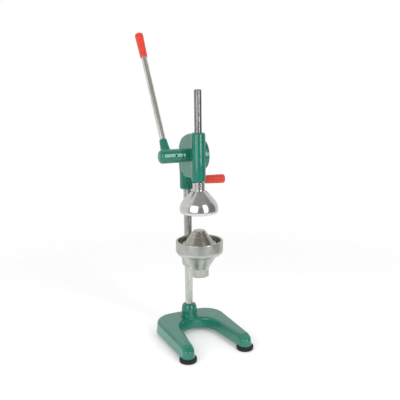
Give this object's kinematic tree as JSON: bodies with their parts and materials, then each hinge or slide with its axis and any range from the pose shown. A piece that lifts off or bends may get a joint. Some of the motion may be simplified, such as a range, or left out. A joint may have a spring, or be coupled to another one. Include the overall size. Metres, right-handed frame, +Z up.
{
  "type": "citrus press juicer",
  "caption": "Upright rack-and-pinion citrus press: long side lever lowers a polished bell over a strainer cone in a spouted bowl, on a horseshoe stand.",
  "frame": {"origin": "the point on the floor under the press axis, the vertical line shared by the rack, bell, strainer and spout; a glass stands there", "axes": "+Z up along the press axis, -Y the front where the two legs of the stand point, +X the side of the clamp handle and gear cover; the lever is on the -X side"},
  "size_m": [0.2098, 0.3666, 0.8348],
  "materials": {
    "green_enamel": "glossy green stove enamel on a casting",
    "bright_steel": "bright plated steel bar",
    "rack_steel": "ground and milled steel, oiled",
    "polished_aluminium": "turned and polished cast aluminium",
    "cast_aluminium": "satin cast aluminium",
    "red_vinyl": "dipped red vinyl",
    "black_rubber": "moulded black rubber",
    "bronze": "sintered bronze bearing",
    "black_steel": "black oxide steel",
    "zinc_steel": "zinc plated steel"
  },
  "bodies": {
    "stand": {"base_casting": "green_enamel", "foot_front_left": "black_rubber", "foot_front_right": "black_rubber", "foot_rear_left": "black_rubber", "foot_rear_right": "black_rubber", "foot_washers": "zinc_steel", "foot_screws": "zinc_steel", "column": "bright_steel", "column_washer": "zinc_steel", "column_bolt": "zinc_steel", "head_casting": "green_enamel", "gear_cover": "green_enamel", "cover_screws": "black_steel", "shaft_bush_left": "bronze", "shaft_bush_right": "bronze", "bowl_casting": "cast_aluminium", "bowl_set_screw": "black_steel"},
    "lever": {"lever_hub": "green_enamel", "hub_set_screw": "black_steel", "lever_rod": "bright_steel", "lever_grip": "red_vinyl", "pinion_shaft": "rack_steel", "pinion_gear": "rack_steel", "pinion_key": "rack_steel", "retaining_rings": "black_steel", "thrust_washers": "zinc_steel"},
    "ram": {"rack_rod": "rack_steel", "press_bell": "polished_aluminium", "bell_set_screw": "black_steel"},
    "clamp": {"handle_stud": "bright_steel", "handle_grip": "red_vinyl"},
    "strainer": {"strainer_cone": "polished_aluminium"}
  },
  "joints": [
    {"name": "lever_swing", "type": "hinge", "parent": "stand", "child": "lever", "pos_m": [0, 0.03575, 0.51], "axis": [1, 0, 0], "range_deg": [0, 145]},
    {"name": "ram_slide", "type": "slide", "parent": "stand", "child": "ram", "axis": [0, 0, -1], "range_m": [0, 0.0728]},
    {"name": "clamp_turn", "type": "hinge", "parent": "stand", "child": "clamp", "pos_m": [0, 0.0762, 0.4355], "axis": [0.9781, -0.2079, 0], "range_deg": [0, 180]},
    {"name": "strainer_turn", "type": "hinge", "parent": "stand", "child": "strainer", "pos_m": [0, 0, 0.2645], "axis": [0, 0, 1], "continuous": true}
  ],
  "couplings": [
    {"joint": "ram_slide", "follows": "lever_swing", "m_per_rad": 0.02875}
  ]
}
